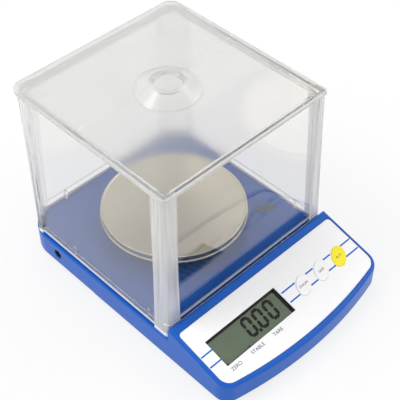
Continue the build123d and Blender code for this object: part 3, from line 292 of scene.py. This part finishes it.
def moulded(name, first, second, roughness, grain=GRAIN_DEPTH, edge=MOULDED_EDGE, **values):
    """Moulded plastic or rubber: slight mottling, fine grain and worn-looking soft edges."""
    material, tree, shader = start_material(name)
    mottled = colour_between(tree, noise(tree, MOTTLE_SCALE), first, second)
    tree.links.new(mottled, shader.inputs["Base Color"])
    sheen = noise(tree, SHEEN_SCALE)
    rough = spread(tree, sheen, roughness - MOULDED_SPREAD, roughness + MOULDED_SPREAD)
    tree.links.new(rough, shader.inputs["Roughness"])
    add_bump(tree, shader, noise(tree, GRAIN_SCALE, detail=GRAIN_DETAIL), grain, edge=edge)
    set_inputs(shader, **values)
    return material


def metal(name, first, second, roughness, stretch=EVEN, scale=METAL_SCALE, depth=METAL_DEPTH):
    """Metal with fine marks, drawn out along one way by stretch."""
    material, tree, shader = start_material(name)
    marks = noise(tree, scale, detail=METAL_DETAIL, stretch=stretch)
    tree.links.new(colour_between(tree, marks, first, second), shader.inputs["Base Color"])
    rough = spread(tree, marks, roughness - METAL_SPREAD, roughness + METAL_SPREAD)
    tree.links.new(rough, shader.inputs["Roughness"])
    add_bump(tree, shader, marks, depth, edge=METAL_EDGE)
    set_inputs(shader, Metallic=1.0)
    return material


def maths(tree, operation, first, second=0.0):
    """A math node on two inputs, each a number or another node's output."""
    node = tree.nodes.new("ShaderNodeMath")
    node.operation = operation
    for socket, value in zip(node.inputs, (first, second)):
        if isinstance(value, (int, float)):
            socket.default_value = value
        else:
            tree.links.new(value, socket)
    return node.outputs["Value"]


def beyond(tree, value, limit, softness=SOFT_STEP):
    """0 below the limit and 1 above it, with a short soft step between."""
    return spread(tree, value, 0.0, 1.0, limit - softness, limit + softness)


def below(tree, value, limit):
    """1 below the limit and 0 above it, with a shorter step between."""
    return beyond(tree, maths(tree, "SUBTRACT", limit, value), 0.0, SHORT_STEP)


def both(tree, first, second):
    """The product of two masks, or of a mask and a number."""
    return maths(tree, "MULTIPLY", first, second)


def either(tree, first, second):
    """The larger of two masks."""
    return maths(tree, "MAXIMUM", first, second)


def place_of(tree):
    """The x, y and z of the shaded point."""
    place = tree.nodes.new("ShaderNodeTexCoord")
    parts = tree.nodes.new("ShaderNodeSeparateXYZ")
    tree.links.new(place.outputs["Object"], parts.inputs["Vector"])
    return parts.outputs["X"], parts.outputs["Y"], parts.outputs["Z"]


def wall_painted_highlights(tree):
    """Where the walls are whitened with painted highlight: in the corner posts, along the bottom edge and in
    the front bead.
    """
    low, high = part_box("shield_walls")
    x, y, z = place_of(tree)
    lean = maths(tree, "MULTIPLY", maths(tree, "SUBTRACT", z, low.z), WALL_LEAN)
    side = maths(tree, "ADD", maths(tree, "ABSOLUTE", x), lean)
    front = maths(tree, "SUBTRACT", lean, y)
    rear = maths(tree, "ADD", lean, y)
    front_post = both(tree, beyond(tree, side, high.x - POST_WIDTH), beyond(tree, front, -low.y - POST_DEPTH))
    rear_post = both(tree, beyond(tree, side, high.x - REAR_POST), beyond(tree, rear, high.y - REAR_POST))
    edge = below(tree, z, WALL_FOOT + EDGE_BAND)
    bead = both(tree, beyond(tree, z, FRONT_BEAD_LOW, SHORT_STEP), below(tree, z, FRONT_BEAD_HIGH))
    bead = both(tree, bead, beyond(tree, front, -low.y - EDGE_BAND - HEM_DEPTH))
    # vertical streaks in the painted highlight of the front posts
    streaks = noise(tree, STREAK_SCALE, stretch=STREAK_WAY)
    streaks = spread(tree, streaks, POST_PAINTED_HIGHLIGHT - POST_STREAK, POST_PAINTED_HIGHLIGHT + POST_STREAK)
    posts = either(tree, both(tree, front_post, streaks), both(tree, rear_post, REAR_POST_PAINTED_HIGHLIGHT))
    lines = both(tree, either(tree, edge, bead), EDGE_PAINTED_HIGHLIGHT)
    return either(tree, posts, lines)


def lid_painted_light(tree):
    """Where the lid is whitened: a painted highlight along its outer edge, and painted light growing more and
    more towards the rear.
    """
    low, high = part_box("shield_lid")
    x, y = place_of(tree)[:2]
    side = beyond(tree, maths(tree, "ABSOLUTE", x), high.x - EDGE_BAND)
    front = beyond(tree, maths(tree, "MULTIPLY", y, -1.0), -low.y - EDGE_BAND)
    rear = beyond(tree, y, high.y - EDGE_BAND)
    # painted highlight along the rim, and painted light growing from front to rear
    rim = both(tree, either(tree, either(tree, side, front), rear), LID_RIM_PAINTED_HIGHLIGHT)
    rearward_painted_light = spread(tree, y, LID_FRONT_PAINTED_LIGHT, LID_REAR_PAINTED_LIGHT, low.y, high.y)
    return either(tree, rim, rearward_painted_light)


def clear(name, tint, painted_light_tone=WALL_PAINTED_HIGHLIGHT_COLOUR, ripple=RIPPLE_DEPTH, roughness=0.0, painted_light_mask=None, ior=CLEAR_IOR):
    """Clear moulded plastic with a faint long ripple; an optional mask function says where painted light
    whitens it.
    """
    material, tree, shader = start_material(name)
    set_inputs(shader, Base_Color=tint, IOR=ior, Transmission_Weight=1.0)
    rough = spread(tree, noise(tree, CLEAR_SHEEN_SCALE), roughness, roughness + CLEAR_SPREAD)
    if painted_light_mask:
        # painted light: the mask whitens the colour, lets less light through and roughens the surface
        amount = painted_light_mask(tree)
        tree.links.new(colour_between(tree, amount, tint, painted_light_tone), shader.inputs["Base Color"])
        tree.links.new(maths(tree, "SUBTRACT", 1.0, amount), shader.inputs["Transmission Weight"])
        rough = maths(tree, "ADD", rough, maths(tree, "MULTIPLY", amount, PAINTED_LIGHT_ROUGHNESS))
    tree.links.new(rough, shader.inputs["Roughness"])
    add_bump(tree, shader, noise(tree, RIPPLE_SCALE, detail=RIPPLE_DETAIL), ripple)
    return material


def printed(name, colour, roughness=INK_ROUGHNESS):
    """Printing ink, a little uneven."""
    material, tree, shader = start_material(name)
    paler = tuple(min(1.0, channel * INK_PALER + INK_LIFT) for channel in colour[:3]) + (1.0,)
    tree.links.new(colour_between(tree, noise(tree, INK_SCALE), colour, paler), shader.inputs["Base Color"])
    rough = spread(tree, noise(tree, INK_SHEEN_SCALE), roughness, roughness + INK_SPREAD)
    tree.links.new(rough, shader.inputs["Roughness"])
    set_inputs(shader, Specular_IOR_Level=INK_SHINE)
    return material


def set_material(names, material):
    """Gives a material to CAD nodes by name."""
    for name in names:
        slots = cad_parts[name].data.materials
        slots.clear()
        slots.append(material)


def finish_piece(name, mesh, material, body="base"):
    """Turns a mesh into a piece of the scene that rides on a body."""
    mesh.materials.clear()
    mesh.materials.append(material)
    piece = bpy.data.objects.new(name, mesh)
    bpy.context.scene.collection.objects.link(piece)
    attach(piece, body)


def plates(outlines, lift, thickness):
    """Thin plates on the panel, from outlines given as lists of (x, v)."""
    form = bmesh.new()
    for outline in outlines:
        bottom = [form.verts.new(on_panel(x, v, lift)) for x, v in outline]
        top = [form.verts.new(on_panel(x, v, lift + thickness)) for x, v in outline]
        form.faces.new(top)
        form.faces.new(bottom[::-1])
        for index in range(len(outline)):
            after = (index + 1) % len(outline)
            form.faces.new((bottom[index], bottom[after], top[after], top[index]))
    bmesh.ops.recalc_face_normals(form, faces=form.faces)
    mesh = bpy.data.meshes.new("plates")
    form.to_mesh(mesh)
    form.free()
    return mesh


def word_mesh(text, size, x, v, lift, thickness):
    """A word lying on the panel, centred on x with its feet at v."""
    letters = bpy.data.curves.new("letters", "FONT")
    letters.body = text
    letters.size = size
    letters.align_x = "CENTER"
    letters.extrude = thickness / 2
    letters.offset = LETTER_GROWTH
    shape = bpy.data.objects.new("letters", letters)
    bpy.context.scene.collection.objects.link(shape)
    bpy.context.view_layer.update()
    mesh = bpy.data.meshes.new_from_object(shape)
    bpy.data.objects.remove(shape)
    place = Matrix((panel_right, -panel_down, panel_out)).transposed().to_4x4()
    place.translation = on_panel(x, v, lift + thickness / 2)
    mesh.transform(place)
    return mesh


def joined(meshes):
    """One mesh from several."""
    form = bmesh.new()
    for mesh in meshes:
        form.from_mesh(mesh)
    whole = bpy.data.meshes.new("joined")
    form.to_mesh(whole)
    form.free()
    return whole


# Materials
blue_plastic = moulded("blue_plastic", srgb(0, 84, 178), srgb(2, 94, 194), 0.32, Specular_IOR_Level=0.3)
tray_plastic = moulded("tray_plastic", srgb(6, 44, 122), srgb(10, 52, 134), 0.42, Specular_IOR_Level=0.35)
rubber = moulded("rubber", srgb(26, 26, 28), srgb(34, 34, 36), 0.75, grain=RUBBER_GRAIN)
steel = metal("screw_steel", srgb(170, 170, 174), srgb(196, 196, 200), 0.34)
alloy = metal("machined_alloy", srgb(190, 190, 194), srgb(214, 214, 216), 0.30, stretch=MACHINED_WAY)
cast_alloy = metal(
    "cast_alloy", srgb(160, 161, 164), srgb(186, 186, 188), 0.5, scale=CAST_SCALE, depth=CAST_DEPTH
)
pan_steel = metal(
    "pan_steel", srgb(190, 182, 164), srgb(206, 199, 182), 0.34, stretch=PAN_WAY, scale=PAN_SCALE
)
nickel = metal("nickel", srgb(198, 196, 190), srgb(216, 214, 208), 0.22)
brass = metal("plated_brass", srgb(190, 160, 100), srgb(206, 178, 120), 0.26)
film_white = moulded(
    "film_white", srgb(248, 248, 250), srgb(251, 251, 252), 0.32, grain=FILM_GRAIN, edge=FILM_EDGE
)
black_plastic = moulded("black_plastic", srgb(14, 14, 15), srgb(20, 20, 22), 0.5)
dark_plastic = moulded("dark_plastic", srgb(28, 29, 32), srgb(36, 37, 40), 0.5)
white_plastic = moulded("white_plastic", srgb(232, 232, 230), srgb(238, 238, 237), 0.42)
coat_plastic = moulded("gauge_coat", srgb(220, 215, 198), srgb(230, 226, 212), 0.55)
board_green = moulded("board_green", srgb(22, 92, 48), srgb(30, 108, 58), 0.3, grain=BOARD_GRAIN)
key_white = moulded("key_white", srgb(248, 248, 250), srgb(251, 251, 252), 0.38, grain=KEY_GRAIN)
key_yellow = moulded("key_yellow", srgb(255, 236, 6), srgb(255, 240, 16), 0.38, grain=KEY_GRAIN)
lead_grey = moulded("lead_grey", srgb(92, 92, 96), srgb(104, 104, 108), 0.5)
cell_sleeve = moulded("cell_sleeve", srgb(30, 31, 34), srgb(40, 41, 45), 0.28)
display_face = moulded(
    "display_face", srgb(104, 119, 97), srgb(114, 127, 107), 0.4,
    grain=DISPLAY_GRAIN, edge=FILM_EDGE, Specular_IOR_Level=0.2
)
walls_clear = clear("walls_clear", WALL_TINT, painted_light_mask=wall_painted_highlights)
lid_clear = clear("lid_clear", LID_TINT, painted_light_tone=LID_PAINTED_LIGHT_COLOUR, roughness=LID_BLUR, painted_light_mask=lid_painted_light)
window_clear = clear("window_clear", WINDOW_TINT, ripple=WINDOW_RIPPLE, ior=WINDOW_IOR)
line_blue = printed("line_blue", srgb(8, 98, 200))
word_grey = printed("word_grey", srgb(104, 106, 116))
key_ink_brown = printed("key_ink_brown", srgb(140, 122, 110))
key_ink_olive = printed("key_ink_olive", srgb(116, 122, 96))
key_ink_dark = printed("key_ink_dark", srgb(70, 66, 20))
segment_black = printed("segment_black", srgb(8, 11, 10), 0.6)

set_material(["upper_housing"], blue_plastic)
set_material(["bottom_tray", "battery_cover"], tray_plastic)
feet = [f"{end}_{side}_foot" for end in ("front", "rear") for side in ("left", "right")]
set_material(feet + ["pan_pads", "display_contact_strips"], rubber)
set_material(["case_screws", "load_cell_screws", "overload_stop", "carrier_screws", "board_screws"], steel)
set_material(["load_cell", "load_cell_spacer"], alloy)
set_material(["pan_carrier"], cast_alloy)
set_material(["strain_gauges"], coat_plastic)
set_material(["pan_support"], dark_plastic)
set_material(["weighing_pan"], pan_steel)
set_material(["front_overlay"], film_white)
set_material(["display_window"], window_clear)
set_material(["display_frame", "board_chips", "power_jack"], black_plastic)
set_material(["power_switch", "unit_switch", "tare_switch"], black_plastic)
set_material(["display_glass"], display_face)
set_material(["display_holder", "board_plugs"], white_plastic)
set_material(["power_switch_plunger", "unit_switch_plunger", "tare_switch_plunger"], white_plastic)
set_material(["main_board"], board_green)
set_material(["power_key", "unit_key"], key_white)
set_material(["tare_key"], key_yellow)
set_material(["jack_pin"], brass)
set_material(["load_cell_lead", "power_lead", "battery_lead"], lead_grey)
set_material([f"battery_cell_{number}" for number in (1, 2, 3, 4)], cell_sleeve)
set_material(["battery_contacts", "battery_springs"], nickel)
set_material(["shield_walls"], walls_clear)
set_material(["shield_lid"], lid_clear)


def bar(left, right, v):
    """A printed line from left to right, centred on v."""
    half = LINE_WIDTH / 2
    return [(left, v - half), (right, v - half), (right, v + half), (left, v + half)]


def printed_lines():
    """Two rows of lines, broken by the display and round each key."""
    window_low, window_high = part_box("display_window")
    bars = []
    edge = film_half_width - LINE_EDGE_GAP
    for row, way in zip(LINE_ROWS, (1, -1)):
        bars.append(bar(-edge, window_low.x, row))
        start = window_high.x + DISPLAY_SIDE_GAP
        for number in range(KEY_COUNT):
            middle = KEY_X + number * KEY_PITCH + way * KEY_LINE_SHIFT
            bars.append(bar(start, middle - KEY_LINE_GAP, row))
            start = middle + KEY_LINE_GAP
        bars.append(bar(start, edge, row))
    finish_piece("printed_lines", plates(bars, 0, PRINT_THICKNESS), line_blue)


def printed_words():
    """Function words under the display and on the keys."""
    meshes = [word_mesh(text, WORD_SIZE, x, WORD_V, 0, PRINT_THICKNESS) for text, x in WORDS]
    finish_piece("function_words", joined(meshes), word_grey)
    labels = (
        ("power", "ON/OFF", key_ink_brown),
        ("unit", "UNIT", key_ink_olive),
        ("tare", "0 / T", key_ink_dark),
    )
    for number, (key, text, ink) in enumerate(labels):
        x = KEY_X + number * KEY_PITCH
        # a third of the letters' size brings their middle onto the key's
        v = KEY_V + KEY_WORD_SIZE / 3
        mesh = word_mesh(text, KEY_WORD_SIZE, x, v, KEY_STANDS, PRINT_THICKNESS)
        finish_piece(f"{key}_key_label", mesh, ink, body=f"{key}_button")


def segment(x0, v0, x1, v1):
    """One pointed segment of a figure, from one corner to another."""
    half = FIGURE_STROKE / 2
    length = max(abs(x1 - x0), abs(v1 - v0))
    along_x = (x1 - x0) / length
    along_v = (v1 - v0) / length
    corners = []
    upper = ((0, 0), (half, half), (length - half, half))
    lower = ((length, 0), (length - half, -half), (half, -half))
    for along, across in upper + lower:
        along = min(max(along, SEGMENT_GAP), length - SEGMENT_GAP)
        x = x0 + along_x * along + along_v * across
        v = v0 + along_v * along + along_x * across
        corners.append((x, v))
    return corners


def figure_zero(left, top):
    """The six outer segments of a figure, which show a nought, leaning to the right."""
    half = FIGURE_STROKE / 2
    x0 = left + half
    x1 = left + FIGURE_WIDTH - half
    rows = [top + half, top + FIGURE_HEIGHT / 2, top + FIGURE_HEIGHT - half]
    segments = [segment(x0, rows[0], x1, rows[0]), segment(x0, rows[2], x1, rows[2])]
    for x in (x0, x1):
        segments.append(segment(x, rows[0], x, rows[1]))
        segments.append(segment(x, rows[1], x, rows[2]))
    return [[(x - (v - top) * FIGURE_LEAN, v) for x, v in outline] for outline in segments]


def display_figures():
    """The weight reading and the two pointers at the display's front edge."""
    outlines = []
    for number in range(FIGURE_COUNT):
        outlines += figure_zero(FIGURE_LEFT + number * FIGURE_PITCH, FIGURE_TOP)
    foot = FIGURE_TOP + FIGURE_HEIGHT
    point_x = FIGURE_LEFT + FIGURE_WIDTH - FIGURE_HEIGHT * FIGURE_LEAN + (FIGURE_PITCH - FIGURE_WIDTH) / 2
    half = FIGURE_STROKE / 2
    outlines.append([
        (point_x - half, foot - FIGURE_STROKE),
        (point_x + half, foot - FIGURE_STROKE),
        (point_x + half, foot),
        (point_x - half, foot),
    ])
    for x in POINTER_X:
        outlines.append([
            (x - POINTER_SIZE / 2, POINTER_V - POINTER_SIZE / 2),
            (x + POINTER_SIZE / 2, POINTER_V - POINTER_SIZE / 2),
            (x, POINTER_V + POINTER_SIZE / 2),
        ])
    mesh = plates(outlines, -display_depth(), SEGMENT_DEPTH)
    finish_piece("display_figures", mesh, segment_black)


def display_border_and_painted_shade():
    """Black printing round the display, widened along the back and the right with painted shade of the window
    frame.
    """
    low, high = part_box("display_window")
    back = (film_back.y - high.y) / cos(PANEL_SLOPE)
    front = (film_back.y - low.y) / cos(PANEL_SLOPE)
    outlines = [
        # the back and right strips are wider, as painted shade of the window frame
        [(low.x, back), (high.x, back), (high.x, back + BORDER_BACK_WITH_SHADE), (low.x, back + BORDER_BACK_WITH_SHADE)],
        [(low.x, front - BORDER_FRONT), (high.x, front - BORDER_FRONT), (high.x, front), (low.x, front)],
        [(low.x, back), (low.x + BORDER_LEFT, back), (low.x + BORDER_LEFT, front), (low.x, front)],
        [(high.x - BORDER_RIGHT_WITH_SHADE, back), (high.x, back), (high.x, front), (high.x - BORDER_RIGHT_WITH_SHADE, front)],
    ]
    mesh = plates(outlines, -display_depth(), SEGMENT_DEPTH)
    finish_piece("display_border_and_painted_shade", mesh, segment_black)


def display_depth():
    """How far the display glass lies below the film's face."""
    glass_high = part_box("display_glass")[1]
    # the glass leans back, so its highest point is the back edge of its upper face
    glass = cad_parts["display_glass"].data
    upper_back = [v.co for v in glass.vertices if v.co.z > glass_high.z - UPPER_EDGE_BAND]
    return (film_back - upper_back[0]).dot(panel_out)


printed_lines()
printed_words()
display_figures()
display_border_and_painted_shade()


def stage():
    """Pale floor and surroundings, lamps and the camera."""
    floor_mesh = bpy.data.meshes.new("floor")
    form = bmesh.new()
    bmesh.ops.create_grid(form, x_segments=2, y_segments=2, size=FLOOR_HALF)
    form.to_mesh(floor_mesh)
    form.free()
    floor = bpy.data.objects.new("floor", floor_mesh)
    bpy.context.scene.collection.objects.link(floor)
    floor_mesh.materials.append(floor_material())
    surroundings()
    lamp("key_lamp", KEY_LAMP_PLACE, KEY_LAMP_SIZE, KEY_LAMP_POWER)
    lamp("fill_lamp", FILL_LAMP_PLACE, FILL_LAMP_SIZE, FILL_LAMP_POWER)
    camera()


def floor_material():
    """White floor: lit as a pale surface, and seen mostly as plain white."""
    material, tree, shader = start_material("floor_white")
    set_inputs(shader, Base_Color=FLOOR_COLOUR, Roughness=FLOOR_ROUGHNESS, Specular_IOR_Level=0.0)
    surface = tree.nodes["Material Output"].inputs["Surface"]
    add_white(tree, shader.outputs["BSDF"], surface, "ShaderNodeEmission", FLOOR_WHITE_SHARE)
    return material


def add_white(tree, plain_output, target, white_type, share):
    """Shows white by the given share to the camera, to reflections and through glass."""
    path = tree.nodes.new("ShaderNodeLightPath")
    seen = path.outputs["Is Camera Ray"]
    for ray in ("Is Glossy Ray", "Is Transmission Ray"):
        seen = either(tree, seen, path.outputs[ray])
    amount = both(tree, seen, share)
    white = tree.nodes.new(white_type)
    white.inputs["Color"].default_value = WHITE
    white.inputs["Strength"].default_value = 1.0
    mix = tree.nodes.new("ShaderNodeMixShader")
    tree.links.new(amount, mix.inputs["Fac"])
    tree.links.new(plain_output, mix.inputs[1])
    tree.links.new(white.outputs[0], mix.inputs[2])
    tree.links.new(mix.outputs["Shader"], target)


def surroundings():
    """Soft white light from all round."""
    world = bpy.data.worlds.new("surroundings")
    bpy.context.scene.world = world
    world.use_nodes = True
    tree = world.node_tree
    plain = tree.nodes["Background"]
    plain.inputs["Color"].default_value = WHITE
    plain.inputs["Strength"].default_value = WORLD_STRENGTH
    surface = tree.nodes["World Output"].inputs["Surface"]
    add_white(tree, plain.outputs[0], surface, "ShaderNodeBackground", WORLD_WHITE_SHARE)


def lamp(name, place, size, power):
    """A square soft lamp that points at the scale."""
    light = bpy.data.lights.new(name, "AREA")
    light.size = size
    light.energy = power
    lamp_object = bpy.data.objects.new(name, light)
    lamp_object.location = place
    toward = LAMP_AIM - Vector(place)
    lamp_object.rotation_euler = toward.to_track_quat("-Z", "Y").to_euler()
    bpy.context.scene.collection.objects.link(lamp_object)


def camera():
    """The photograph's camera."""
    back = Vector((
        sin(CAMERA_AZIMUTH) * cos(CAMERA_ELEVATION),
        -cos(CAMERA_AZIMUTH) * cos(CAMERA_ELEVATION),
        sin(CAMERA_ELEVATION),
    ))
    level = back.cross(Vector((0, 0, 1))).normalized() * -1
    upright = level.cross(-back)
    right = level * cos(CAMERA_ROLL) + upright * sin(CAMERA_ROLL)
    up = upright * cos(CAMERA_ROLL) - level * sin(CAMERA_ROLL)
    view = bpy.data.cameras.new("camera")
    view.sensor_width = SENSOR
    view.lens = FOCAL_PIXELS / IMAGE * SENSOR
    view.shift_x = (IMAGE / 2 - CENTRE_X_PIXEL) / IMAGE
    view.shift_y = (CENTRE_Y_PIXEL - IMAGE / 2) / IMAGE
    view.clip_start = CLIP_START
    view.clip_end = CLIP_END
    eye = bpy.data.objects.new("camera", view)
    place = Matrix((right, up, back)).transposed().to_4x4()
    place.translation = CAMERA_TARGET + back * CAMERA_DISTANCE
    eye.matrix_world = place
    bpy.context.scene.collection.objects.link(eye)
    bpy.context.scene.camera = eye


stage()
# light passes through many layers of the clear shield
bpy.context.scene.cycles.max_bounces = MOST_BOUNCES
bpy.context.scene.cycles.transmission_bounces = CLEAR_BOUNCES
bpy.context.scene.cycles.glossy_bounces = CLEAR_BOUNCES
bpy.context.scene.view_settings.view_transform = "Standard"
